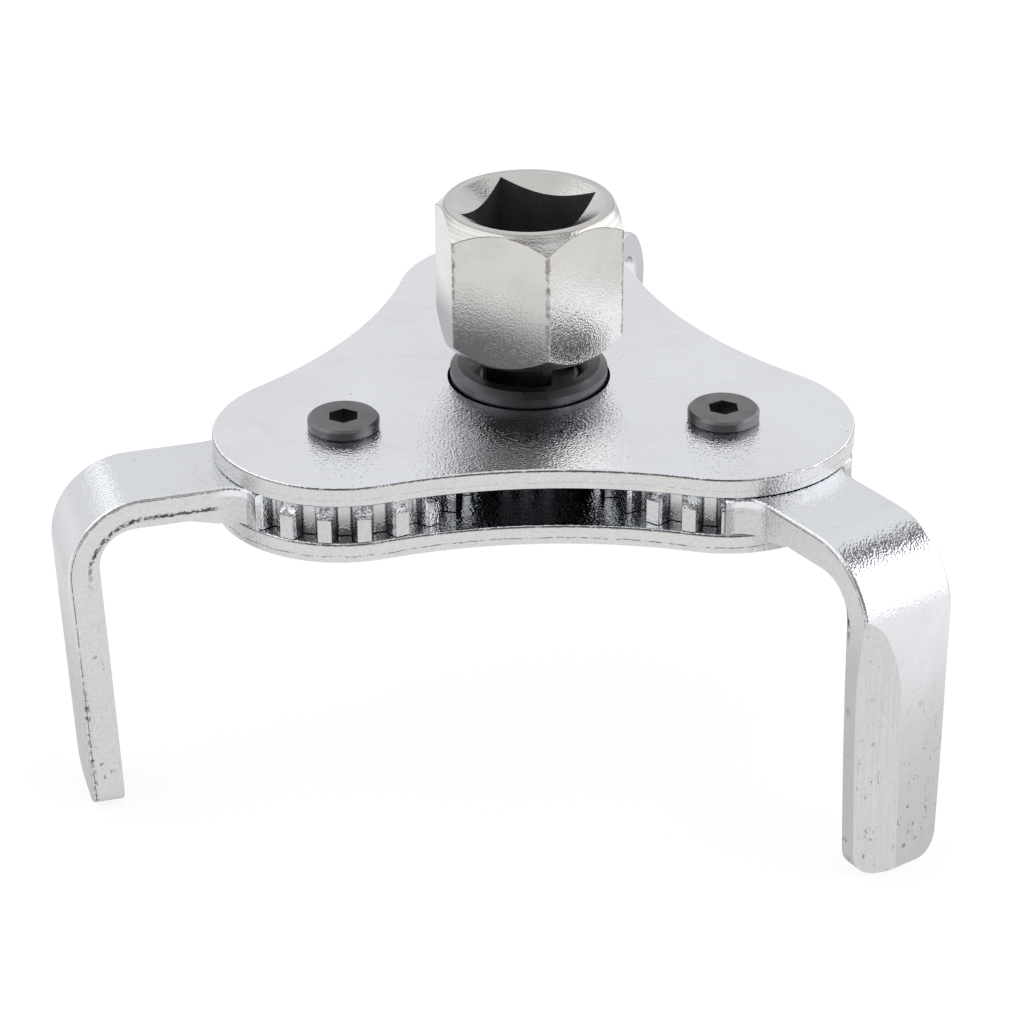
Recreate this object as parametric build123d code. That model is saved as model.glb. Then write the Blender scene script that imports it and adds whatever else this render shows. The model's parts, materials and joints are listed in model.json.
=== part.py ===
"""Three-jaw oil filter wrench: two plates, a driven centre gear and three geared jaw arms.

Origin on the drive axis at the mouth of the square socket. +Z points out of the socket,
away from the filter. Millimetres.
"""
from build123d import *
import math
import os

# Gearing
MODULE = 1.48
PRESSURE_ANGLE = 20.0
SUN_TEETH = 16
ARM_TEETH = 21
SUN_TIP_R = 13.0
SUN_ROOT_R = 10.9
ARM_TIP_R = 16.28
ARM_ROOT_R = 14.2
BACKLASH = 0.12
FLANK_POINTS = 7
CENTRE_DISTANCE = MODULE * (SUN_TEETH + ARM_TEETH) / 2
ARM_PITCH = 360 / ARM_TEETH
SUN_PITCH = 360 / SUN_TEETH

# Heights of the stack, measured up from the mouth of the drive socket
NUT_HEIGHT = 18.45
NECK_GAP = 5.55
PLATE_THICK = 2.65
PLATE_GAP = 5.03
AXIAL_PLAY = 0.1
TOP_FACE = -(NUT_HEIGHT + NECK_GAP)
TOP_UNDER = TOP_FACE - PLATE_THICK
BOTTOM_FACE = TOP_UNDER - PLATE_GAP
BOTTOM_UNDER = BOTTOM_FACE - PLATE_THICK
GEAR_TOP = TOP_UNDER - AXIAL_PLAY
GEAR_THICK = PLATE_GAP - 2 * AXIAL_PLAY
GEAR_UNDER = GEAR_TOP - GEAR_THICK

# Plates
LOBE_R = 16.4
WAIST_R = 64.0
PLATE_ROLLOVER = 0.4
PLATE_BURR_BREAK = 0.15
RUN_FIT = 0.05

# Jaw arms
ARM_THICK = 4.0
ARM_HALF_WIDTH = 6.6
BEND_R = {"outer": 10.2, "inner": 4.8}
BEND_INSET = {"outer": BEND_R["outer"], "inner": BEND_R["inner"] + ARM_THICK}
LEG_OUTER = 36.5
LEG_TIP_DEPTH = 46.9
TIP_Z = TOP_FACE - LEG_TIP_DEPTH
LEG_TIP_HALF_WIDTH = 5.95
LEG_TIP_ROUND = 3.2
SHOULDER_R = 16.8
SHOULDER_HALF_WIDTH = 10.0
FLARE_R = SHOULDER_HALF_WIDTH - ARM_HALF_WIDTH
STEP_START = 17.5
STEP_END = 20.8
TOOTH_BEVEL = 1.8
GRIND_TOP = TOP_FACE - 8.6
GRIND_RUN_IN = 6.9
GRIND_FULL = 17.0
OUTER_EDGE_ROUND = 0.45
INNER_EDGE_ROUND = 0.25
ROOT_ROUND_ARM = 0.4
ROOT_ROUND_SUN = 0.15

# Pivots
POST_DIA = 9.0
SPIGOT_DIA = 7.0
SCREW_DIA = 5.0
SCREW_HOLE_DIA = 5.2
HEAD_DIA = 9.0
HEAD_HEIGHT = 1.54
HEAD_RIM_LOW = 0.3
HEAD_BREAK = 0.3
HEAD_HEX = 3.5
HEAD_HEX_DEPTH = 1.7
SCREW_REACH = 4.2

# Drive
COLLAR_DIA = 20.2
COLLAR_HOLE_DIA = 20.96
COLLAR_TOP_R = 9.15
COLLAR_BEVEL = 34.0
COLLAR_PROUD = 1.95
COLLAR_BORE_BREAK = 1.4
SHAFT_DIA = 12.7
SHAFT_SHOULDER_DROP = 1.7
SHANK_SQUARE = 9.5
SHANK_CORNER_R = 6.15
NUT_FLATS = 21.8
NUT_EDGE_ROUND = 0.45
NUT_TOP_RING_R = 10.6
NUT_TOP_BEVEL = 47.0
NUT_BASE_RING_R = 10.6
NUT_BASE_BEVEL = 48.0
SOCKET_SQUARE = 13.0
SOCKET_DEPTH = 12.6
SOCKET_MOUTH_R = 9.5
SOCKET_MOUTH_SLOPE = 0.52
NUT_TURN = -21.66
SQUARE_TURN = 20.0
WASHER_OD = 21.0
WASHER_THICK = 1.0
RING_OD = 17.2
RING_THICK = 1.0
GROOVE_DIA = 11.8
GROOVE_WIDTH = 1.1
SHAFT_TAIL = 1.9

# Where each hub sits, how its teeth rest on it, and how far its leg leans in from upright
HUB_ANGLE = {"left": 210.0, "right": 330.0, "rear": 90.0}
ARM_REST = {"left": -ARM_PITCH, "right": -ARM_PITCH * 5 / 3, "rear": -ARM_PITCH * 4 / 3}
ARM_LEAD = 1.0
LEG_LEAN = {"left": 2.0, "right": -1.2, "rear": 0.0}

# Facets ground on the outer corners of each leg: side, width along the face, depth into the edge
GRINDS = {
    "left": [],
    "right": [(-1, 5.4, 1.7), (1, 3.0, 0.45)],
    "rear": [(-1, 4.6, 1.1), (1, 3.0, 0.45)],
}


def polar(radius, degrees):
    """Point in the XY plane at a radius and angle."""
    angle = math.radians(degrees)
    return (radius * math.cos(angle), radius * math.sin(angle))


def involute(angle):
    """Involute function."""
    return math.tan(angle) - angle


def space_half_angle(radius, teeth):
    """Half the angle of a tooth space at a radius, in radians."""
    pressure = math.radians(PRESSURE_ANGLE)
    pitch_r = MODULE * teeth / 2
    base_r = pitch_r * math.cos(pressure)
    alpha = math.acos(min(1.0, base_r / max(radius, base_r)))
    tooth = math.pi / (2 * teeth) + involute(pressure) - involute(alpha) - BACKLASH / (4 * pitch_r)
    return math.pi / teeth - tooth


def tooth_space(teeth, root_r, outer_r, root_round, height, z_low):
    """Cutter for one tooth space, centred on +X."""
    radii = [root_r + (outer_r - root_r) * i / (FLANK_POINTS - 1) for i in range(FLANK_POINTS)]
    upper = []
    for radius in radii:
        half = space_half_angle(radius, teeth)
        upper.append((radius * math.cos(half), radius * math.sin(half)))
    lower = [(x, -y) for x, y in reversed(upper)]
    profile = make_face(Polyline(*upper, *lower, close=True))
    floor = profile.vertices().sort_by(Axis.X)[:2]
    profile = fillet(floor, root_round)
    return Pos(0, 0, z_low) * extrude(profile, height)


def cylinder(diameter, z_low, z_high):
    """Upright round bar on the Z axis between two heights."""
    return Pos(0, 0, z_low) * extrude(Circle(diameter / 2), z_high - z_low)


def square_bar(side, z_low, z_high):
    """Upright square bar on the Z axis between two heights."""
    return Pos(0, 0, z_low) * extrude(Rot(0, 0, SQUARE_TURN - 45) * Rectangle(side, side), z_high - z_low)


def cone_cut(radius, slope, z_edge, upward):
    """Everything outside a cone that leaves a ring of the given radius at z_edge."""
    reach = 6.0
    drop = reach * math.tan(math.radians(slope))
    sign = 1 if upward else -1
    ring = Polyline(
        (radius, 0, z_edge),
        (radius + reach, 0, z_edge - sign * drop),
        (radius + reach, 0, z_edge + sign),
        (radius, 0, z_edge + sign),
        close=True,
    )
    return revolve(make_face(ring), Axis.Z, 360)


def plate_outline():
    """Three round lobes joined by shallow waists."""
    hub_half_span = CENTRE_DISTANCE * math.sin(math.radians(60))
    hub_height = CENTRE_DISTANCE * math.cos(math.radians(60))
    waist_centre = hub_height + math.sqrt((WAIST_R + LOBE_R) ** 2 - hub_half_span ** 2)
    edges = []
    for hub in sorted(HUB_ANGLE.values()):
        cx, cy = polar(CENTRE_DISTANCE, hub)
        before = Vector(*polar(waist_centre, hub - 60))
        after = Vector(*polar(waist_centre, hub + 60))
        centre = Vector(cx, cy)
        start = centre + (before - centre).normalized() * LOBE_R
        end = centre + (after - centre).normalized() * LOBE_R
        next_centre = Vector(*polar(CENTRE_DISTANCE, hub + 120))
        next_start = next_centre + (after - next_centre).normalized() * LOBE_R
        edges.append(ThreePointArc(start, polar(CENTRE_DISTANCE + LOBE_R, hub), end))
        edges.append(ThreePointArc(end, polar(waist_centre - WAIST_R, hub + 60), next_start))
    return make_face(Wire(edges))


def plate(z_top, centre_hole, hub_hole):
    """One cover plate with its rounded stamped edge facing up."""
    body = Pos(0, 0, z_top - PLATE_THICK) * extrude(plate_outline(), PLATE_THICK)
    body = fillet(body.edges().group_by(Axis.Z)[-1], PLATE_ROLLOVER)
    body = chamfer(body.edges().group_by(Axis.Z)[0], PLATE_BURR_BREAK)
    body -= cylinder(centre_hole, z_top - PLATE_THICK, z_top)
    for hub in HUB_ANGLE.values():
        x, y = polar(CENTRE_DISTANCE, hub)
        body -= Pos(x, y, 0) * cylinder(hub_hole, z_top - PLATE_THICK, z_top)
    return body


def countersink():
    """Cone under a screw head, from the head's rim down to a point inside the shank."""
    rim_r = HEAD_DIA / 2
    rim_z = TOP_FACE + HEAD_RIM_LOW
    cone = Polyline((0, 0, rim_z), (rim_r, 0, rim_z), (0, 0, rim_z - rim_r), close=True)
    return revolve(make_face(cone), Axis.Z, 360)


def top_plate():
    """Upper cover plate, countersunk for the screws, with a wide hole round the collar."""
    body = plate(TOP_FACE, COLLAR_HOLE_DIA, SCREW_HOLE_DIA)
    for hub in HUB_ANGLE.values():
        x, y = polar(CENTRE_DISTANCE, hub)
        body -= Pos(x, y, 0) * countersink()
    return body


def bend_centre(face):
    """Centre of the round on one broad face of the arm's bend, in the side view."""
    return (LEG_OUTER - BEND_INSET[face], GEAR_TOP - BEND_INSET[face])


def bend_point(face, degrees):
    """Point on the round of one broad face of the arm's bend, in the side view."""
    centre_x, centre_z = bend_centre(face)
    x, z = polar(BEND_R[face], degrees)
    return (centre_x + x, 0, centre_z + z)


def tip_point(face, lean):
    """Where one broad face of the leg reaches the tip."""
    x, _, z = bend_point(face, -lean)
    return (x + (TIP_Z - z) * math.tan(math.radians(lean)), 0, TIP_Z)


def arm_side_profile(lean):
    """Side view of the arm: flat strip, bend and leg, with X along the arm."""
    strip_under = GEAR_TOP - ARM_THICK
    edges = [
        Line((0, 0, GEAR_TOP), bend_point("outer", 90)),
        ThreePointArc(*(bend_point("outer", a) for a in (90, 45 - lean / 2, -lean))),
        Line(bend_point("outer", -lean), tip_point("outer", lean)),
        Line(tip_point("outer", lean), tip_point("inner", lean)),
        Line(tip_point("inner", lean), bend_point("inner", -lean)),
        ThreePointArc(*(bend_point("inner", a) for a in (-lean, 45 - lean / 2, 90))),
        Line(bend_point("inner", 90), (STEP_END, 0, strip_under)),
        Line((STEP_END, 0, strip_under), (STEP_START, 0, GEAR_UNDER)),
        Line((STEP_START, 0, GEAR_UNDER), (0, 0, GEAR_UNDER)),
        Line((0, 0, GEAR_UNDER), (0, 0, GEAR_TOP)),
    ]
    return make_face(Wire(edges))


def arm_plan():
    """Plan view of the strip with its flared shoulders, X along the arm."""
    shoulder_x = math.sqrt(SHOULDER_R ** 2 - SHOULDER_HALF_WIDTH ** 2)
    flare_x = shoulder_x + FLARE_R
    outline = Polyline(
        (0, -ARM_HALF_WIDTH),
        (shoulder_x, -SHOULDER_HALF_WIDTH),
        (shoulder_x, SHOULDER_HALF_WIDTH),
        (0, ARM_HALF_WIDTH),
        close=True,
    )
    shoulder = make_face(outline)
    strip = Pos(LEG_OUTER / 2, 0) * Rectangle(LEG_OUTER + 2, 2 * ARM_HALF_WIDTH)
    web = Pos((shoulder_x + flare_x) / 2, 0) * Rectangle(FLARE_R, 2 * SHOULDER_HALF_WIDTH)
    for side in (-1, 1):
        web -= Pos(flare_x, side * (ARM_HALF_WIDTH + FLARE_R)) * Circle(FLARE_R)
        web -= Pos(flare_x, side * (ARM_HALF_WIDTH + 2 * FLARE_R)) * Rectangle(2 * FLARE_R, 2 * FLARE_R)
    return strip + web + shoulder


def arm_front_outline():
    """Front view of the arm: straight strip, then a leg narrowing gently to a rounded tip."""
    taper_z = bend_centre("outer")[1] - 1
    middle = ((ARM_HALF_WIDTH * 3 + LEG_TIP_HALF_WIDTH) / 4, (taper_z + TIP_Z) / 2)
    top_z = GEAR_TOP + 1
    step_z = GEAR_UNDER - 0.1
    half = SHOULDER_HALF_WIDTH + 1
    edges = [
        Line((0, -half, top_z), (0, half, top_z)),
        Line((0, -LEG_TIP_HALF_WIDTH, TIP_Z), (0, LEG_TIP_HALF_WIDTH, TIP_Z)),
    ]
    for side in (-1, 1):
        strip_y = side * ARM_HALF_WIDTH
        leg_end = (0, side * LEG_TIP_HALF_WIDTH, TIP_Z)
        edges.append(Line((0, side * half, top_z), (0, side * half, step_z)))
        edges.append(Line((0, side * half, step_z), (0, strip_y, step_z)))
        edges.append(Line((0, strip_y, step_z), (0, strip_y, taper_z)))
        edges.append(ThreePointArc((0, strip_y, taper_z), (0, side * middle[0], middle[1]), leg_end))
    face = make_face(edges)
    return fillet(face.vertices().group_by(Axis.Z)[0], LEG_TIP_ROUND)


def long_edges(strip, lean, face):
    """Edges along the outer or the inner broad face of the bent strip."""
    bend_x, bend_z = bend_centre(face)
    bend_r = BEND_R[face]
    chosen = []
    for edge in strip.edges():
        centre = edge.center()
        middle = edge.position_at(0.5)
        on_side = abs(abs(centre.Y) - ARM_HALF_WIDTH) < 0.01
        on_strip = on_side and abs(centre.Z - bend_z - bend_r) < 0.01 and centre.X > STEP_START
        reach = math.hypot(middle.X - bend_x, middle.Z - bend_z)
        on_bend = on_side and edge.geom_type == GeomType.CIRCLE and abs(reach - bend_r) < 0.01
        out, along = polar(1, lean)
        outward = (centre.X - bend_x) * out - (centre.Z - bend_z) * along
        downward = -(centre.X - bend_x) * along - (centre.Z - bend_z) * out
        on_leg = abs(outward - bend_r) < 0.01 and downward > 0.1
        if on_strip or on_bend or on_leg:
            chosen.append(edge)
    return chosen


def grind_cut(side, wide, deep, lean):
    """Facet ground along one outer corner of the leg, running in over a short curve."""
    depth = wide * deep / math.hypot(wide, deep)
    low = TIP_Z - 2
    run_in = (-0.73 * depth, 0, GRIND_TOP - GRIND_RUN_IN)
    full = (-depth, 0, GRIND_TOP - GRIND_FULL)
    curve = ThreePointArc((0, 0, GRIND_TOP), run_in, full)
    rest = Polyline(full, (-depth, 0, low), (8, 0, low), (8, 0, GRIND_TOP), (0, 0, GRIND_TOP))
    profile = make_face(Wire([curve, *rest.edges()]))
    block = extrude(profile, 16, dir=(0, 1, 0), both=True)
    turn = math.degrees(math.atan2(deep, wide)) * side
    narrowing = math.degrees(math.atan2(ARM_HALF_WIDTH - LEG_TIP_HALF_WIDTH, GRIND_TOP - TIP_Z)) * side
    block = Pos(0, 0, GRIND_TOP) * Rot(-narrowing, 0, 0) * Pos(0, 0, -GRIND_TOP) * Rot(0, 0, turn) * block
    bend_x, bend_z = bend_centre("outer")
    block = Pos(LEG_OUTER - bend_x, side * ARM_HALF_WIDTH, -bend_z) * block
    return Pos(bend_x, 0, bend_z) * Rot(0, lean, 0) * block


def jaw_arm(name):
    """Geared hub, flat strip and bent leg in one piece, placed on its pivot."""
    lean = LEG_LEAN[name]
    hub = cylinder(2 * ARM_TIP_R, GEAR_UNDER, GEAR_TOP)
    hub = chamfer(hub.edges().group_by(Axis.Z)[-1], TOOTH_BEVEL)
    strip = extrude(arm_side_profile(lean), SHOULDER_HALF_WIDTH + 2, dir=(0, 1, 0), both=True)
    strip &= Pos(0, 0, TIP_Z - 1) * extrude(arm_plan(), GEAR_TOP - TIP_Z + 2)
    strip &= extrude(arm_front_outline(), LEG_OUTER + 5, dir=(1, 0, 0), both=True)
    strip = fillet(long_edges(strip, lean, "outer"), OUTER_EDGE_ROUND)
    strip = fillet(long_edges(strip, lean, "inner"), INNER_EDGE_ROUND)
    body = hub + strip
    cutter = tooth_space(ARM_TEETH, ARM_ROOT_R, SHOULDER_R + 2.0, ROOT_ROUND_ARM, GEAR_THICK + 2, GEAR_UNDER - 1)
    for k in range(2, ARM_TEETH - 2):
        body -= Rot(0, 0, (k + 0.5) * ARM_PITCH - ARM_LEAD) * cutter
    for side, wide, deep in GRINDS[name]:
        body -= grind_cut(side, wide, deep, lean)
    body -= cylinder(POST_DIA + 2 * RUN_FIT, GEAR_UNDER - 1, GEAR_TOP + 1)
    x, y = polar(CENTRE_DISTANCE, HUB_ANGLE[name])
    return Pos(x, y, 0) * Rot(0, 0, HUB_ANGLE[name] + ARM_REST[name] + ARM_LEAD) * body


def pivot_post(name):
    """Hardened sleeve between the plates, its spigot peened into the bottom plate."""
    body = cylinder(POST_DIA, BOTTOM_FACE, TOP_UNDER)
    body += cylinder(SPIGOT_DIA, BOTTOM_UNDER, BOTTOM_FACE)
    body -= cylinder(SCREW_DIA, BOTTOM_UNDER, TOP_UNDER)
    x, y = polar(CENTRE_DISTANCE, HUB_ANGLE[name])
    return Pos(x, y, 0) * body


def pivot_screw(name):
    """Socket screw whose countersunk head stands proud of the top plate it clamps onto a post."""
    head = cylinder(HEAD_DIA, TOP_FACE + HEAD_RIM_LOW, TOP_FACE + HEAD_HEIGHT)
    head = chamfer(head.edges().group_by(Axis.Z)[-1], HEAD_BREAK)
    shank = cylinder(SCREW_DIA, TOP_UNDER - SCREW_REACH, TOP_FACE)
    recess = extrude(RegularPolygon(HEAD_HEX / 2, 6, major_radius=False), HEAD_HEX_DEPTH)
    body = head + countersink() + shank - Pos(0, 0, TOP_FACE + HEAD_HEIGHT - HEAD_HEX_DEPTH) * recess
    x, y = polar(CENTRE_DISTANCE, HUB_ANGLE[name])
    return Pos(x, y, 0) * Rot(0, 0, HUB_ANGLE[name]) * body


def sun_gear():
    """Centre gear whose boss runs in the top plate and shows as a black collar."""
    collar_top = TOP_FACE + COLLAR_PROUD
    gear = cylinder(2 * SUN_TIP_R, GEAR_UNDER, GEAR_TOP)
    cutter = tooth_space(SUN_TEETH, SUN_ROOT_R, SUN_TIP_R + 1.0, ROOT_ROUND_SUN, GEAR_THICK + 2, GEAR_UNDER - 1)
    for k in range(SUN_TEETH):
        gear -= Rot(0, 0, (k + 0.5) * SUN_PITCH) * cutter
    gear = Rot(0, 0, HUB_ANGLE["left"]) * gear
    gear += cylinder(COLLAR_DIA, GEAR_TOP, collar_top) - cone_cut(COLLAR_TOP_R, COLLAR_BEVEL, collar_top, True)
    gear -= cylinder(SHAFT_DIA, GEAR_UNDER, collar_top)
    mouth = gear.edges().filter_by(GeomType.CIRCLE).group_by(Axis.Z)[-1].sort_by(SortBy.RADIUS)[0]
    return chamfer(mouth, COLLAR_BORE_BREAK)


def drive_shaft():
    """Round shaft pressed through the gear, squared above to carry the nut."""
    shoulder = TOP_FACE + COLLAR_PROUD - SHAFT_SHOULDER_DROP
    washer_under = BOTTOM_UNDER - RUN_FIT - WASHER_THICK
    tail = washer_under - GROOVE_WIDTH - SHAFT_TAIL
    body = cylinder(SHAFT_DIA, tail, shoulder)
    body = chamfer(body.edges().group_by(Axis.Z)[0], 0.6)
    groove = cylinder(SHAFT_DIA + 2, washer_under - GROOVE_WIDTH, washer_under)
    body -= groove - cylinder(GROOVE_DIA, washer_under - GROOVE_WIDTH, washer_under)
    shank = square_bar(SHANK_SQUARE, shoulder, -SOCKET_DEPTH)
    body += shank & cylinder(2 * SHANK_CORNER_R, shoulder, -SOCKET_DEPTH)
    return body


def drive_nut():
    """Hexagon nut with a half-inch square socket above and the shank square below."""
    hexagon = RegularPolygon(NUT_FLATS / 2, 6, major_radius=False, rotation=NUT_TURN)
    body = Pos(0, 0, -NUT_HEIGHT) * extrude(hexagon, NUT_HEIGHT)
    body = fillet(body.edges().filter_by(Axis.Z), NUT_EDGE_ROUND)
    body -= cone_cut(NUT_TOP_RING_R, NUT_TOP_BEVEL, 0, True)
    body -= cone_cut(NUT_BASE_RING_R, NUT_BASE_BEVEL, -NUT_HEIGHT, False)
    body -= square_bar(SOCKET_SQUARE, -SOCKET_DEPTH, 0)
    mouth = Polyline((0, 0, 0), (SOCKET_MOUTH_R, 0, 0), (0, 0, -SOCKET_MOUTH_R * SOCKET_MOUTH_SLOPE), close=True)
    body -= revolve(make_face(mouth), Axis.Z, 360)
    shank = square_bar(SHANK_SQUARE, -NUT_HEIGHT, -SOCKET_DEPTH)
    body -= shank & cylinder(2 * SHANK_CORNER_R, -NUT_HEIGHT, -SOCKET_DEPTH)
    return body


def thrust_washer():
    """Plain washer running under the bottom plate."""
    z_high = BOTTOM_UNDER - RUN_FIT
    washer = cylinder(WASHER_OD, z_high - WASHER_THICK, z_high)
    return washer - cylinder(SHAFT_DIA + 2 * RUN_FIT, z_high - WASHER_THICK, z_high)


def retaining_ring():
    """Open ring with two eyelets, sprung into the shaft groove."""
    z_high = BOTTOM_UNDER - RUN_FIT - WASHER_THICK
    lug_x = GROOVE_DIA / 2 + 2.6
    flat = Circle(RING_OD / 2)
    for side in (-1, 1):
        flat += Pos(lug_x, side * 2.4) * Circle(1.7)
    flat -= Circle(GROOVE_DIA / 2)
    flat -= Pos(RING_OD / 2, 0) * Rectangle(RING_OD, 2.2)
    for side in (-1, 1):
        flat -= Pos(lug_x, side * 2.5) * Circle(0.75)
    return Pos(0, 0, z_high - RING_THICK) * extrude(flat, RING_THICK)


os.makedirs("parts", exist_ok=True)

parts = {
    "top_plate": top_plate(),
    "bottom_plate": plate(BOTTOM_FACE, SHAFT_DIA + 2 * RUN_FIT, SPIGOT_DIA),
    "sun_gear": sun_gear(),
    "drive_shaft": drive_shaft(),
    "drive_nut": drive_nut(),
    "thrust_washer": thrust_washer(),
    "retaining_ring": retaining_ring(),
}
for spot in HUB_ANGLE:
    parts["jaw_arm_" + spot] = jaw_arm(spot)
    parts["pivot_post_" + spot] = pivot_post(spot)
    parts["pivot_screw_" + spot] = pivot_screw(spot)

for node, shape in parts.items():
    export_step(shape, "parts/" + node + ".step")
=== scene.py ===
import json
import math

import bpy
from mathutils import Matrix, Vector


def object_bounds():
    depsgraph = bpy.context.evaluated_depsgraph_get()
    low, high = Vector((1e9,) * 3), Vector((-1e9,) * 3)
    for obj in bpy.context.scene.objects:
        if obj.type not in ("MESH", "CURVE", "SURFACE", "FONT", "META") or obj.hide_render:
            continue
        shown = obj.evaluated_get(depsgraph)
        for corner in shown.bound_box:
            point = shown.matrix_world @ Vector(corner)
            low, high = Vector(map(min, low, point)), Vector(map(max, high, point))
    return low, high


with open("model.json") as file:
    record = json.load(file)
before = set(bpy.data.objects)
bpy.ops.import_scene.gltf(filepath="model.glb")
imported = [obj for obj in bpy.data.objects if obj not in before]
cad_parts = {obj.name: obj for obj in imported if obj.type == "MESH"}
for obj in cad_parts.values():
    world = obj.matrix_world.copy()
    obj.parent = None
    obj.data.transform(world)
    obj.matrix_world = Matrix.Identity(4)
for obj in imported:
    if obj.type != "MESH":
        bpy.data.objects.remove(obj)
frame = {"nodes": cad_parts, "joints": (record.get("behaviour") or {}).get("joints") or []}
cad_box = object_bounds()

MM = 0.001

# Heights of the stack, up from the mouth of the drive socket, as in the part
TOP_FACE = -24.0 * MM
BOTTOM_FACE = -31.68 * MM
GEAR_TOP = -26.75 * MM

# Nut: angles in degrees, with the hexagon's and the socket's turn about the drive axis
NUT_TURN = -21.66
NUT_BASE = -18.45 * MM
NUT_TOP_R = 10.6 * MM
NUT_CHAMFER_STEEP = 47
SQUARE_TURN = -25.0
SQUARE_HALF = 6.5 * MM
SQUARE_FLOOR = -12.6 * MM

# Arms: the toothed hub, and the strip that leaves it as a bar and bends down into a leg
ARM_ROOT_R = 14.2 * MM
ARM_TIP_R = 16.28 * MM
BAR_START = 16.0 * MM
BEND_OUTER_R = 10.2 * MM
BEND_MIDDLE_R = 8.0 * MM
BEND_X = 26.3 * MM
BEND_Z = GEAR_TOP - BEND_OUTER_R

# Where the arms sit, in degrees: hubs round the drive axis, and each arm's swing in teeth
ARM_PITCH = 360 / 21
ARM_LEAD = 1.0
HUB_ANGLE = {"left": 210, "right": 330, "rear": 90}
ARM_SWING = {"left": 1, "right": 5 / 3, "rear": 4 / 3}
ARM_AIM = {spot: HUB_ANGLE[spot] + ARM_LEAD - ARM_PITCH * ARM_SWING[spot] for spot in HUB_ANGLE}
LEG_LEAN = {"left": 2.0, "right": -1.2, "rear": 0.0}
PIVOTS = {joint["name"]: Vector(joint["pos_m"]) for joint in frame["joints"]}

# Camera: its lens, its angles in degrees, and its distance in metres from the point it aims at
CAMERA_LENS_MM = 112.95
CAMERA_AZIMUTH = -2.3
CAMERA_ELEVATION = 28.47
CAMERA_ROLL = -0.21
CAMERA_DISTANCE = 0.4226
CAMERA_AIM = Vector((-0.00222, 0.0, -0.04411))


def make_camera():
    """Camera on a sphere round its aim point; the aim point turns with the azimuth."""
    elevation = math.radians(CAMERA_ELEVATION)
    roll = math.radians(CAMERA_ROLL)
    forward = Vector((0, math.cos(elevation), -math.sin(elevation)))
    level = Vector((1, 0, 0))
    upright = level.cross(forward)
    right = level * math.cos(roll) + upright * math.sin(roll)
    up = upright * math.cos(roll) - level * math.sin(roll)
    place = CAMERA_AIM - forward * CAMERA_DISTANCE
    basis = Matrix((right, up, -forward)).transposed().to_4x4()
    basis.translation = place
    data = bpy.data.cameras.new("camera")
    data.lens = CAMERA_LENS_MM
    data.clip_start = 0.01
    camera = bpy.data.objects.new("camera", data)
    bpy.context.scene.collection.objects.link(camera)
    camera.matrix_world = Matrix.Rotation(math.radians(CAMERA_AZIMUTH), 4, "Z") @ basis
    bpy.context.scene.camera = camera


make_camera()


# ---------------------------------------------------------------- node helpers

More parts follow.
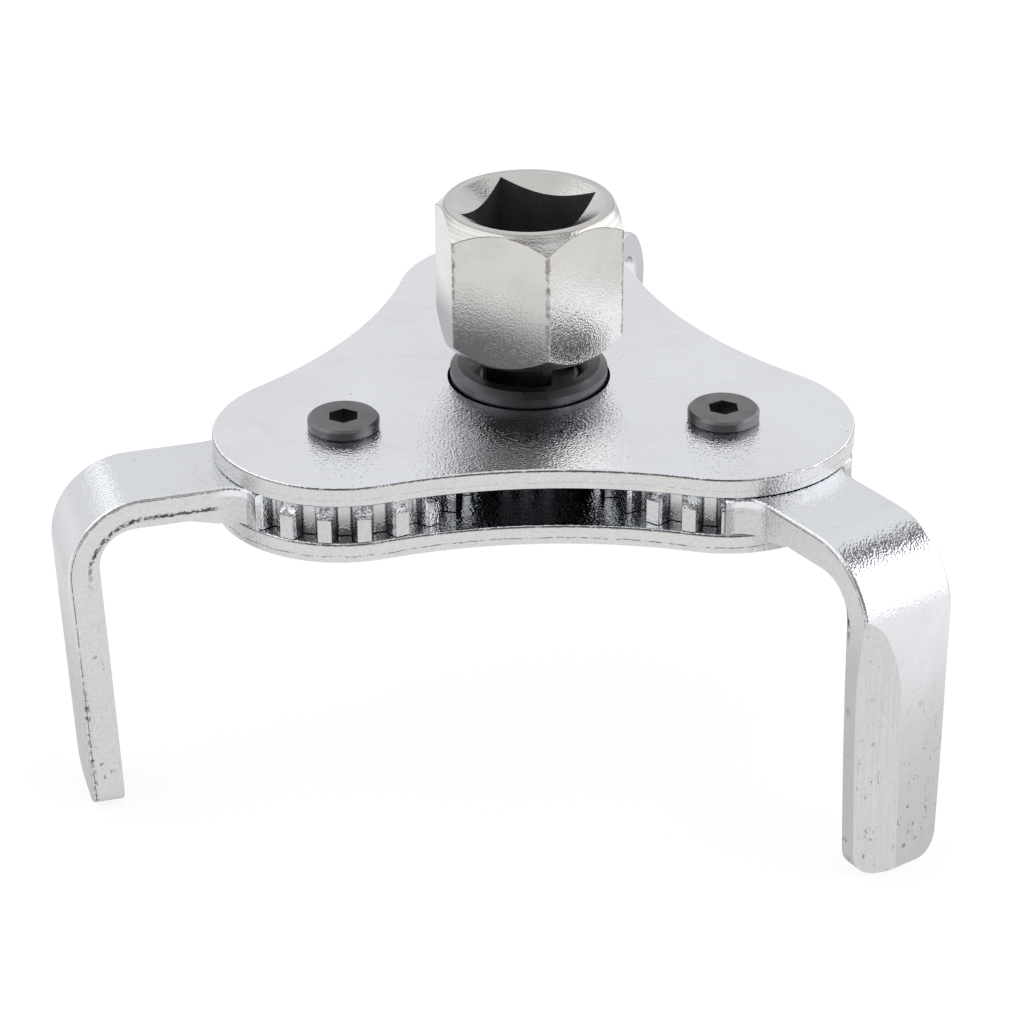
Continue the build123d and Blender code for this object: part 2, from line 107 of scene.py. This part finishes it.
class Nodes:
    """A node tree with short calls for the nodes used here."""

    def __init__(self, tree):
        self.tree = tree

    def add(self, kind, **settings):
        node = self.tree.nodes.new(kind)
        for key, value in settings.items():
            setattr(node, key, value)
        return node

    def feed(self, socket, value):
        if isinstance(value, bpy.types.NodeSocket):
            self.tree.links.new(value, socket)
        else:
            socket.default_value = value

    def math(self, operation, first, second=0.0, third=0.0):
        node = self.add("ShaderNodeMath", operation=operation)
        for index, value in enumerate((first, second, third)):
            self.feed(node.inputs[index], value)
        return node.outputs[0]

    def plus(self, first, second):
        return self.math("ADD", first, second)

    def minus(self, first, second):
        return self.math("SUBTRACT", first, second)

    def times(self, first, *others):
        """The product of all the values."""
        for value in others:
            first = self.math("MULTIPLY", first, value)
        return first

    def most(self, first, *others):
        """The largest of the values."""
        for value in others:
            first = self.math("MAXIMUM", first, value)
        return first

    def spread(self, value, width, start):
        """A value between nothing and one, spread over a width from a start."""
        return self.math("MULTIPLY_ADD", value, width, start)

    def invert(self, value):
        return self.minus(1.0, value)

    def length(self, first, second):
        return self.math("SQRT", self.plus(self.times(first, first), self.times(second, second)))

    def smooth(self, value, low, high, start=0.0, end=1.0):
        node = self.add("ShaderNodeMapRange", interpolation_type="SMOOTHSTEP")
        for index, item in enumerate((value, low, high, start, end)):
            self.feed(node.inputs[index], item)
        return node.outputs[0]

    def fade(self, value, low, high):
        """One up to low, falling to nothing at high."""
        return self.smooth(value, low, high, 1.0, 0.0)

    def band(self, value, centre, core, edge):
        """One at the centre, falling to nothing between core and edge away from it."""
        return self.fade(self.math("ABSOLUTE", self.minus(value, centre)), core, edge)

    def noise(self, vector, scale, detail=2.0, roughness=0.5, distortion=0.0):
        node = self.add("ShaderNodeTexNoise")
        self.feed(node.inputs["Vector"], vector)
        node.inputs["Scale"].default_value = scale
        node.inputs["Detail"].default_value = detail
        node.inputs["Roughness"].default_value = roughness
        node.inputs["Distortion"].default_value = distortion
        return node.outputs["Fac"]

    def patches(self, vector, scale, low, high, detail=4.0, roughness=0.8):
        """Ragged patches: nothing where the noise is under low, one where it is over high."""
        return self.smooth(self.noise(vector, scale, detail, roughness), low, high)

    def specks(self, vector, scale, size, share):
        """Small scattered pits: the given share of the cells holds one."""
        node = self.add("ShaderNodeTexVoronoi")
        self.feed(node.inputs["Vector"], vector)
        node.inputs["Scale"].default_value = scale
        dots = self.fade(node.outputs["Distance"], size * 0.5, size)
        picked = self.math("LESS_THAN", self.split(node.outputs["Color"])[0], share)
        return self.times(dots, picked)

    def mix(self, factor, first, second):
        node = self.add("ShaderNodeMix", data_type="RGBA")
        self.feed(node.inputs["Factor"], factor)
        for key, value in (("A", first), ("B", second)):
            colour = (*value, 1.0) if isinstance(value, tuple) else value
            sockets = [s for s in node.inputs if s.name == key and s.type == "RGBA"]
            self.feed(sockets[0], colour)
        return [s for s in node.outputs if s.type == "RGBA"][0]

    def split(self, vector):
        node = self.add("ShaderNodeSeparateXYZ")
        self.feed(node.inputs[0], vector)
        return node.outputs

    def join(self, x, y, z):
        node = self.add("ShaderNodeCombineXYZ")
        for index, value in enumerate((x, y, z)):
            self.feed(node.inputs[index], value)
        return node.outputs[0]

    def stretched(self, vector, scale):
        """The same coordinates with each axis scaled on its own."""
        node = self.add("ShaderNodeMapping", vector_type="POINT")
        self.feed(node.inputs["Vector"], vector)
        node.inputs["Scale"].default_value = scale
        return node.outputs[0]

    def local(self, vector, origin, turn):
        """A place seen from an origin turned about +Z."""
        node = self.add("ShaderNodeMapping", vector_type="TEXTURE")
        self.feed(node.inputs["Vector"], vector)
        node.inputs["Location"].default_value = origin
        node.inputs["Rotation"].default_value = (0, 0, math.radians(turn))
        return node.outputs[0]

    def bump(self, height, distance, normal=None):
        node = self.add("ShaderNodeBump")
        node.inputs["Strength"].default_value = 1.0
        node.inputs["Distance"].default_value = distance
        self.feed(node.inputs["Height"], height)
        if normal is not None:
            self.feed(node.inputs["Normal"], normal)
        return node.outputs[0]


class Surface(Nodes):
    """A metal material: its nodes, its shader and its object-space coordinates."""

    def __init__(self, name, metallic=1.0):
        self.material = bpy.data.materials.new(name)
        self.material.use_nodes = True
        super().__init__(self.material.node_tree)
        self.shader = self.tree.nodes["Principled BSDF"]
        self.shader.inputs["Metallic"].default_value = metallic
        coordinates = self.add("ShaderNodeTexCoord")
        self.place = coordinates.outputs["Object"]
        self.facing = coordinates.outputs["Normal"]

    def finish(self, colour, rough, normal):
        self.feed(self.shader.inputs["Base Color"], colour)
        self.feed(self.shader.inputs["Roughness"], rough)
        self.feed(self.shader.inputs["Normal"], normal)
        return self.material


# ---------------------------------------------------------------- plated steel

PLATE_COOL = (0.80, 0.815, 0.85)
PLATE_DULL = (0.755, 0.765, 0.79)
CUT_GREY = (0.61, 0.61, 0.605)
CUT_PALE = (0.675, 0.675, 0.67)
FROST = (0.33, 0.33, 0.335)
FRACTURE = (0.075, 0.062, 0.055)
PIT = (0.13, 0.12, 0.115)
SMUDGE = (0.42, 0.34, 0.28)


def sandy(n, grain, wave):
    """Fine grain over a slow ripple, the skin of thin bright plating on rolled steel."""
    rippled = n.bump(n.noise(n.place, 420, 2.0, 0.6), wave)
    return n.bump(n.noise(n.place, 3900, 0.0, 0.5), grain, rippled)


def frosted(n, colour, share):
    """The same colour with pin-prick specks of a darker tone."""
    fine = n.smooth(n.noise(n.place, 3900, 2.0, 0.8), 0.50, 0.66)
    return n.mix(n.times(fine, share), colour, FROST)


def cut_edge(n, along):
    """Mottled grey of a sheared edge, with only a hint of its upright drag lines."""
    fleck = n.noise(n.place, 2400, 3.0, 0.75)
    cut = n.mix(n.smooth(fleck, 0.36, 0.64), CUT_GREY, CUT_PALE)
    return n.mix(n.times(n.smooth(along, 0.45, 0.75), 0.22), cut, CUT_GREY), fleck


def plating_roughness(n, side):
    """Smooth plating on the faces, rougher on the sheared sides."""
    face = n.smooth(n.noise(n.place, 150, 3.0, 0.6), 0.3, 0.7, 0.07, 0.12)
    return n.plus(face, n.times(side, 0.20))


def plate_marks(n, top, side, fleck):
    """Dark marks on a plate's cut edge: its broken shear line and the flaked rim above it."""
    depth = n.minus(top, n.split(n.place)[2])
    line = n.spread(n.noise(n.place, 260, 3.0, 0.6), 0.7 * MM, 1.35 * MM)
    strength = 0.8 if top == BOTTOM_FACE else 0.25
    shear = n.times(n.band(depth, line, 0.02 * MM, 0.10 * MM), n.patches(n.place, 700, 0.44, 0.54))
    shear = n.times(shear, side, strength)
    rim = n.band(depth, n.spread(fleck, 0.10 * MM, 0.14 * MM), 0.03 * MM, 0.10 * MM)
    return n.most(shear, n.times(rim, n.patches(n.place, 620, 0.36, 0.50), 0.8))


def plate_material(name, top):
    """Plated stamping: cool flat faces, mottled cut edge with a broken shear line."""
    n = Surface(name)
    side = n.fade(n.math("ABSOLUTE", n.split(n.facing)[2]), 0.35, 0.75)
    cloud = n.noise(n.place, 55, 4.0, 0.6)
    rolled = n.noise(n.stretched(n.place, (60, 900, 300)), 1.0, 3.0, 0.6)
    colour = n.mix(n.smooth(n.plus(cloud, n.times(rolled, 0.4)), 0.5, 0.95), PLATE_COOL, PLATE_DULL)
    smudge = n.smooth(n.noise(n.place, 75, 5.0, 0.65, 0.6), 0.58, 0.75)
    colour = frosted(n, n.mix(n.times(smudge, 0.12), colour, SMUDGE), 0.10)
    cut, fleck = cut_edge(n, n.noise(n.stretched(n.place, (1500, 1500, 110)), 1.0, 2.0, 0.6))
    marks = plate_marks(n, top, side, fleck)
    colour = n.mix(marks, n.mix(side, colour, cut), FRACTURE)
    pits = n.specks(n.place, 260, 0.05, 0.35)
    colour = n.mix(n.times(pits, 0.7), colour, PIT)
    height = n.minus(n.times(fleck, side, 0.3), marks)
    normal = n.bump(height, 0.02 * MM, sandy(n, 0.060 * MM, 0.007 * MM))
    return n.finish(colour, plating_roughness(n, side), normal)


# ---------------------------------------------------------------- arms

LEG_SHADE = (0.60, 0.60, 0.60)
LEG_WORN = (0.50, 0.495, 0.485)
REAR_CUT_SHADE = (0.62, 0.635, 0.67)
CUT_SHADED = (0.44, 0.445, 0.46)
BRUSHED_DULL = (0.595, 0.59, 0.58)
BRUSHED_PALE = (0.65, 0.648, 0.64)
TOOTH_TIP_SHADE = (0.46, 0.46, 0.45)
TOOTH_ROOT_SHADE = (0.10, 0.09, 0.085)
GULLET_SHADE = (0.40, 0.395, 0.39)
BEVEL_SHADE = (0.16, 0.155, 0.15)

# Where each arm's edge is torn: depth into the strip, and the stretch along the arm it covers
TORN = {"left": (2.1, 15, 35, 42), "right": (2.9, 33, 38, 41), "rear": (2.9, 33, 38, 41)}
REAR_MARKS = 0.15


class ArmSurface(Surface):
    """An arm's material, and where each point lies on its toothed hub and bent strip.

    The run is the distance along the strip from the hub's axis, round the bend and down the
    leg; the depth is the distance in from the strip's outer face. The rest are masks: the bar is
    all of the strip, side its sheared edges, ground its ground facet and low the lower leg.
    """

    def __init__(self, name):
        super().__init__("plated_arm_" + name)
        self.here = self.local(self.place, PIVOTS["arm_" + name + "_pivot"], ARM_AIM[name])
        self.outward, aside, _ = self.split(self.here)
        self.radius = self.length(self.outward, aside)
        self.z = self.split(self.place)[2]
        past = self.most(self.minus(self.outward, BEND_X), 0.0)
        above = self.most(self.minus(self.z, BEND_Z), 0.0)
        below = self.most(self.minus(BEND_Z, self.z), 0.0)
        leant = self.times(below, math.tan(math.radians(LEG_LEAN[name])))
        self.depth = self.minus(self.minus(BEND_OUTER_R, self.length(past, above)), leant)
        straight = self.plus(self.math("MINIMUM", self.outward, BEND_X), below)
        self.run = self.plus(straight, self.times(self.math("ARCTAN2", past, above), BEND_MIDDLE_R))
        self.along = self.join(self.run, self.times(self.depth, 0.06), aside)
        self.across = self.split(self.local(self.facing, (0, 0, 0), ARM_AIM[name]))[1]
        self.bar = self.smooth(self.outward, BAR_START, BAR_START + 2.5 * MM)
        self.side = self.times(self.smooth(self.math("ABSOLUTE", self.across), 0.60, 0.8), self.bar)
        self.ground = self.times(self.band(self.across, -0.36, 0.12, 0.18), self.bar)
        self.ground = self.times(self.ground, self.smooth(self.run, 30 * MM, 33 * MM))
        self.low = self.smooth(self.run, 38 * MM, 62 * MM)


def arm_face(n):
    """Cool plating with brown smudges on the bar, painted shade greying the leg's upright faces, and
    more wear down the leg.
    """
    cloud = n.noise(n.place, 70, 4.0, 0.6)
    colour = n.mix(n.smooth(cloud, 0.4, 0.7), PLATE_COOL, PLATE_DULL)
    smudge = n.smooth(n.noise(n.place, 170, 5.0, 0.75, 0.8), 0.57, 0.70)
    smudge = n.times(smudge, n.smooth(n.run, 28 * MM, 34 * MM, 1.0, 0.25), 0.30)
    colour = n.mix(smudge, colour, SMUDGE)
    # Painted shade: the leg's upright faces are painted greyer than the bar of the same plating.
    colour = n.mix(n.smooth(n.run, 39 * MM, 54 * MM, 0.0, 0.75), colour, LEG_SHADE)
    worn = n.smooth(n.plus(n.run, n.times(cloud, 14 * MM)), 44 * MM, 82 * MM)
    colour = n.mix(n.times(worn, 0.7), colour, LEG_WORN)
    return frosted(n, colour, n.smooth(n.run, 34 * MM, 60 * MM, 0.10, 0.22))


def arm_marks(n, name, fleck):
    """Dark marks on an arm's cut edge: the torn band, the flaked rim and chips down the leg."""
    centre, begin, end, last = [value * MM for value in TORN[name]]
    ragged = n.noise(n.join(n.run, n.depth, 0.0), 1100, 4.0, 0.85)
    torn = n.band(n.depth, n.spread(ragged, 1.2 * MM, centre), 0.10 * MM, 0.34 * MM)
    torn = n.times(torn, n.smooth(n.run, begin, begin + 4 * MM), n.fade(n.run, end, last))
    torn = n.times(torn, n.patches(n.place, 1500, 0.40, 0.50), n.side)
    rim = n.band(n.depth, n.spread(fleck, 0.14 * MM, 0.34 * MM), 0.02 * MM, 0.09 * MM)
    rim = n.times(rim, n.patches(n.along, 480, 0.40, 0.50), n.side, 0.85)
    chips = n.times(n.band(n.depth, 0.45 * MM, 0.10 * MM, 0.50 * MM), n.side)
    chips = n.times(chips, n.patches(n.here, 1500, 0.50, 0.58, detail=3.0))
    chips = n.times(chips, n.smooth(n.run, 48 * MM, 60 * MM))
    return n.times(n.most(torn, rim, chips), REAR_MARKS if name == "rear" else 1.0)


def tooth_painted_shade(n, colour, fleck):
    """Painted shade on the teeth: grey tips and gullets, roots that darken downwards, and dark patches
    on the bevels.
    """
    # Painted shade on the tooth tips.
    tip = n.times(n.smooth(n.radius, ARM_TIP_R - 0.38 * MM, ARM_TIP_R - 0.18 * MM), n.invert(n.bar))
    tip = n.times(tip, n.smooth(n.z, GEAR_TOP - 1.0 * MM, GEAR_TOP - 1.4 * MM))
    colour = n.mix(n.times(tip, n.smooth(fleck, 0.3, 0.6, 0.45, 0.75)), colour, TOOTH_TIP_SHADE)
    # Painted shade in the roots, darker towards the bottom plate.
    root = n.fade(n.radius, ARM_ROOT_R + 0.1 * MM, ARM_TIP_R - 0.18 * MM)
    root = n.times(root, n.smooth(n.z, GEAR_TOP - 1.2 * MM, GEAR_TOP - 3.4 * MM))
    colour = n.mix(n.times(root, 0.85), colour, TOOTH_ROOT_SHADE)
    # Painted shade in the gullets between the teeth.
    gullet = n.fade(n.radius, ARM_ROOT_R + 0.4 * MM, ARM_ROOT_R + 1.4 * MM)
    colour = n.mix(n.times(gullet, n.smooth(fleck, 0.3, 0.6, 0.35, 0.65)), colour, GULLET_SHADE)
    # Painted shade on the bevels under the top plate.
    bevel = n.times(n.band(n.split(n.facing)[2], 0.70, 0.12, 0.25),
                    n.fade(n.outward, BAR_START - 1.0 * MM, BAR_START + 0.5 * MM),
                    n.patches(n.place, 900, 0.44, 0.56, detail=3.0))
    return n.mix(n.times(bevel, 0.85), colour, BEVEL_SHADE)


def leg_wear(n):
    """A few pits everywhere, with more of them and ragged scars low on the leg."""
    pits = n.times(n.specks(n.here, 620, 0.26, 0.14), n.patches(n.here, 2200, 0.42, 0.56, detail=3.0))
    pits = n.times(pits, n.smooth(n.run, 38 * MM, 62 * MM, 0.3, 1.0))
    scars = n.patches(n.stretched(n.here, (1.0, 1.0, 0.5)), 800, 0.615, 0.655, roughness=0.9)
    return n.most(pits, n.times(scars, n.low))


def arm_material(name):
    """Plated arm blanked from thick strip, with its torn edge round the bend and a ground facet."""
    n = ArmSurface(name)
    n.shader.inputs["Specular Tint"].default_value = (0.72, 0.72, 0.73, 1.0)
    cut, fleck = cut_edge(n, n.noise(n.along, 1700, 2.0, 0.6))
    # Painted shade: the rear arm's cut edge is painted cooler and darker than the same edge on the
    # other arms.
    if name == "rear":
        cut = n.mix(0.8, cut, REAR_CUT_SHADE)
    colour = n.mix(n.side, arm_face(n), cut)
    shaded = n.times(n.fade(n.across, -0.8, -0.6), n.smooth(n.run, 34 * MM, 44 * MM))
    colour = n.mix(n.times(shaded, 0.65), colour, CUT_SHADED)
    streak = n.noise(n.stretched(n.here, (3600, 3600, 110)), 1.0, 3.0, 0.7)
    brushed = n.mix(n.smooth(streak, 0.3, 0.7), BRUSHED_DULL, BRUSHED_PALE)
    colour = n.mix(n.ground, colour, frosted(n, brushed, 0.22))
    marks = arm_marks(n, name, fleck)
    colour = tooth_painted_shade(n, n.mix(marks, colour, FRACTURE), fleck)
    wear = leg_wear(n)
    colour = n.mix(n.times(wear, 0.7), colour, PIT)
    rough = n.plus(plating_roughness(n, n.side), n.times(n.low, 0.10))
    raised = n.plus(n.times(fleck, n.side, 0.3), n.times(streak, n.ground, 0.15))
    height = n.minus(n.minus(raised, marks), wear)
    return n.finish(colour, rough, n.bump(height, 0.022 * MM, sandy(n, 0.042 * MM, 0.012 * MM)))


# ---------------------------------------------------------------- nut

NUT_PALE = (0.63, 0.62, 0.60)
NUT_DULL = (0.56, 0.555, 0.535)
NUT_BROWN = (0.20, 0.155, 0.125)
TURNED_GREY = (0.30, 0.29, 0.28)
SOCKET_SHADE = (0.33, 0.325, 0.32)
NUT_SIDE_SHADE = (0.25, 0.25, 0.255)


def nut_browning(n, radius, z, upright):
    """Brown wear down the hexagon's corners, along the chamfer's arcs and round the top's rim."""
    wander = n.times(n.minus(n.noise(n.place, 1500, 4.0, 0.75), 0.5), 0.9 * MM)
    corner = n.smooth(n.plus(radius, n.times(wander, 0.6)), 12.38 * MM, 12.50 * MM)
    corner = n.times(corner, upright, n.patches(n.place, 900, 0.38, 0.56))
    cone = n.plus(NUT_TOP_R, n.times(z, -1 / math.tan(math.radians(NUT_CHAMFER_STEEP))))
    arc = n.band(n.minus(radius, cone), n.times(wander, 0.25), 0.05 * MM, 0.17 * MM)
    arc = n.times(arc, upright, n.patches(n.place, 380, 0.36, 0.48, roughness=0.7))
    rim = n.band(radius, n.plus(NUT_TOP_R, n.times(wander, 0.2)), 0.03 * MM, 0.12 * MM)
    rim = n.times(rim, n.smooth(z, -0.3 * MM, -0.1 * MM))
    return n.most(n.times(corner, 0.75), n.times(arc, 0.85), n.times(rim, 0.6))


def nut_socket_shade(n, radius, z, flat_up):
    """Painted shade: the walls of the square socket, its floor and the hidden faces below it."""
    side_x, side_y, _ = n.split(n.local(n.place, (0, 0, 0), SQUARE_TURN))
    wide = n.most(n.math("ABSOLUTE", side_x), n.math("ABSOLUTE", side_y))
    walls = n.fade(wide, SQUARE_HALF + 0.15 * MM, SQUARE_HALF + 0.25 * MM)
    walls = n.times(walls, n.fade(flat_up, 0.25, 0.4))
    under = n.times(n.fade(radius, 9.0 * MM, 9.1 * MM),
                    n.fade(z, SQUARE_FLOOR + 0.1 * MM, SQUARE_FLOOR + 0.6 * MM),
                    n.smooth(z, NUT_BASE + 0.05 * MM, NUT_BASE + 0.45 * MM))
    return n.most(walls, under)


def nut_material():
    """Grainy plated forging: worn brown corners, machined chamfers, painted shade in the square socket
    and low on the left of its sides.
    """
    n = Surface("plated_nut")
    x, y, z = n.split(n.place)
    flat_up = n.math("ABSOLUTE", n.split(n.facing)[2])
    upright = n.fade(flat_up, 0.12, 0.3)
    radius = n.length(x, y)
    colour = n.mix(n.patches(n.place, 130, 0.35, 0.7, roughness=0.6), NUT_PALE, NUT_DULL)
    brown = nut_browning(n, radius, z, upright)
    colour = n.mix(brown, colour, NUT_BROWN)
    turned = n.noise(n.join(radius, z, n.times(x, 0.03)), 2600, 2.0, 0.7)
    chamfer = n.times(n.smooth(flat_up, 0.3, 0.5), n.smooth(n.minus(radius, z), 9.6 * MM, 9.9 * MM))
    chamfer = n.times(chamfer, n.smooth(turned, 0.42, 0.62))
    colour = n.mix(n.times(chamfer, 0.35), colour, TURNED_GREY)
    # Painted shade in the square socket and on the hidden faces below it.
    socket_shade = nut_socket_shade(n, radius, z, flat_up)
    colour = n.mix(socket_shade, colour, SOCKET_SHADE)
    # Painted shade: the nut's sides are painted darker low down, fading out towards the right.
    side_shade = n.times(n.smooth(z, -8.5 * MM, -15.0 * MM), upright, n.smooth(x, 4.5 * MM, 1.0 * MM))
    colour = n.mix(n.times(side_shade, 0.75), colour, NUT_SIDE_SHADE)
    pits = n.specks(n.place, 700, 0.10, 0.12)
    colour = n.mix(n.times(pits, 0.5), colour, PIT)
    cloud = n.noise(n.local(n.place, (0, 0, 0), NUT_TURN), 300, 3.0, 0.6)
    rough = n.plus(n.smooth(cloud, 0.3, 0.7, 0.10, 0.15), n.times(n.most(brown, socket_shade), 0.25))
    crinkle = n.bump(n.noise(n.place, 4300, 0.0, 0.5), 0.022 * MM)
    grain = n.bump(n.noise(n.place, 4200, 2.0, 0.7), 0.014 * MM, crinkle)
    height = n.minus(n.times(turned, chamfer, 0.4), n.plus(n.times(brown, 0.8), pits))
    return n.finish(colour, rough, n.bump(height, 0.03 * MM, grain))


# ---------------------------------------------------------------- dark and turned steel

OXIDE_PALE = (0.110, 0.108, 0.116)
OXIDE_DEEP = (0.075, 0.074, 0.080)
HEAD_PALE = (0.175, 0.175, 0.180)
HEAD_DEEP = (0.135, 0.135, 0.140)
OXIDE_SPECK = (0.45, 0.44, 0.42)
STEEL_PALE = (0.62, 0.61, 0.59)
STEEL_DULL = (0.48, 0.47, 0.45)
STEEL_STAIN = (0.30, 0.25, 0.2)


def turned_dark(name, centre, pale, deep):
    """Satin black oxide over lathe-turned steel, with fine rings round its own axis."""
    n = Surface(name)
    x, y, z = n.split(n.local(n.place, centre, 0))
    rings = n.noise(n.join(n.length(x, y), n.times(z, 0.7), 0.0), 3400, 2.0, 0.7)
    colour = n.mix(n.patches(n.place, 260, 0.35, 0.7, roughness=0.6), pale, deep)
    colour = n.mix(n.times(n.smooth(rings, 0.55, 0.75), 0.35), colour, tuple(1.5 * c for c in pale))
    specks = n.specks(n.place, 900, 0.09, 0.15)
    colour = n.mix(n.times(specks, 0.5), colour, OXIDE_SPECK)
    rough = n.smooth(n.noise(n.place, 500, 3.0, 0.6), 0.3, 0.7, 0.27, 0.37)
    fine = n.bump(n.noise(n.place, 3800, 2.0, 0.6), 0.004 * MM)
    return n.finish(colour, rough, n.bump(rings, 0.005 * MM, fine))


def turned_bright(name):
    """Bare turned steel, lightly oiled."""
    n = Surface(name)
    x, y, z = n.split(n.place)
    rings = n.noise(n.join(n.times(x, 0.15), n.times(y, 0.15), z), 2600, 2.0, 0.7)
    colour = n.mix(n.smooth(rings, 0.35, 0.7), STEEL_PALE, STEEL_DULL)
    stain = n.patches(n.place, 220, 0.55, 0.7, roughness=0.6)
    colour = n.mix(n.times(stain, 0.4), colour, STEEL_STAIN)
    rough = n.smooth(n.noise(n.place, 600, 3.0, 0.6), 0.3, 0.7, 0.25, 0.4)
    return n.finish(colour, rough, n.bump(rings, 0.006 * MM))


looks = {
    "top_plate": plate_material("plated_top_plate", TOP_FACE),
    "bottom_plate": plate_material("plated_bottom_plate", BOTTOM_FACE),
    "drive_nut": nut_material(),
}
oxide = turned_dark("black_oxide", (0, 0, 0), OXIDE_PALE, OXIDE_DEEP)
steel = turned_bright("bright_steel")
for spot in ARM_AIM:
    looks["jaw_arm_" + spot] = arm_material(spot)
    looks["pivot_post_" + spot] = steel
    hub = PIVOTS["arm_" + spot + "_pivot"]
    looks["pivot_screw_" + spot] = turned_dark("black_screw_" + spot, hub, HEAD_PALE, HEAD_DEEP)
looks.update(sun_gear=oxide, drive_shaft=oxide, retaining_ring=oxide, thrust_washer=steel)

for name, node in frame["nodes"].items():
    node.data.materials.clear()
    node.data.materials.append(looks[name])


# ---------------------------------------------------------------- floor and light

FLOOR_HALF = 3.0
FLOOR_GLOW = 0.84
FLOOR_PALE = (0.21, 0.21, 0.21)
FLOOR_DULL = (0.20, 0.20, 0.20)

# The tent's light, what the bright panels add to it, and what the seam and the front take away
TENT_LIGHT = 0.90
RIGHT_PANEL = 0.95
LEFT_PANEL = 0.55
SEAM_LOSS = 0.80
FRONT_LOSS = 0.66
FRONT_AIM = (-0.10, -0.93, 0.35)


def make_floor():
    """Pale plain floor, far wider than the view, faintly lit from below like a light table."""
    mesh = bpy.data.meshes.new("floor")
    z = cad_box[0].z
    corners = [(x * FLOOR_HALF, y * FLOOR_HALF, z) for x, y in ((-1, -1), (1, -1), (1, 1), (-1, 1))]
    mesh.from_pydata(corners, [], [(0, 1, 2, 3)])
    floor = bpy.data.objects.new("floor", mesh)
    bpy.context.scene.collection.objects.link(floor)
    n = Surface("floor", metallic=0.0)
    colour = n.mix(n.noise(n.place, 3.0), FLOOR_PALE, FLOOR_DULL)
    n.shader.inputs["Specular IOR Level"].default_value = 0.0
    n.shader.inputs["Emission Color"].default_value = (1.0, 1.0, 1.0, 1.0)
    n.shader.inputs["Emission Strength"].default_value = FLOOR_GLOW
    mesh.materials.append(n.finish(colour, 0.9, n.bump(n.noise(n.place, 200), 0.01 * MM)))


def make_world():
    """A light tent: pale roof and back, bright side panels, one dark seam and an unlit front."""
    world = bpy.data.worlds.new("studio")
    bpy.context.scene.world = world
    world.use_nodes = True
    n = Nodes(world.node_tree)
    x, y, z = n.split(n.add("ShaderNodeTexCoord").outputs["Generated"])
    right = n.times(n.smooth(x, 0.60, 0.68), n.smooth(z, -0.10, 0.15))
    left = n.times(n.fade(x, -0.44, -0.36), n.smooth(z, 0.30, 0.50))
    light = n.plus(TENT_LIGHT, n.plus(n.times(right, RIGHT_PANEL), n.times(left, LEFT_PANEL)))
    seam = n.times(n.band(x, 0.52, 0.04, 0.12), n.smooth(z, 0.60, 0.72), n.smooth(y, -0.45, -0.1))
    light = n.times(light, n.invert(n.times(seam, SEAM_LOSS)))
    ahead = n.plus(n.plus(n.times(x, FRONT_AIM[0]), n.times(y, FRONT_AIM[1])), n.times(z, FRONT_AIM[2]))
    light = n.times(light, n.invert(n.times(n.smooth(ahead, 0.66, 0.80), FRONT_LOSS)))
    background = world.node_tree.nodes["Background"]
    background.inputs["Color"].default_value = (0.985, 0.99, 1.0, 1.0)
    n.feed(background.inputs["Strength"], light)


make_floor()
make_world()
bpy.context.scene.view_settings.view_transform = "Standard"
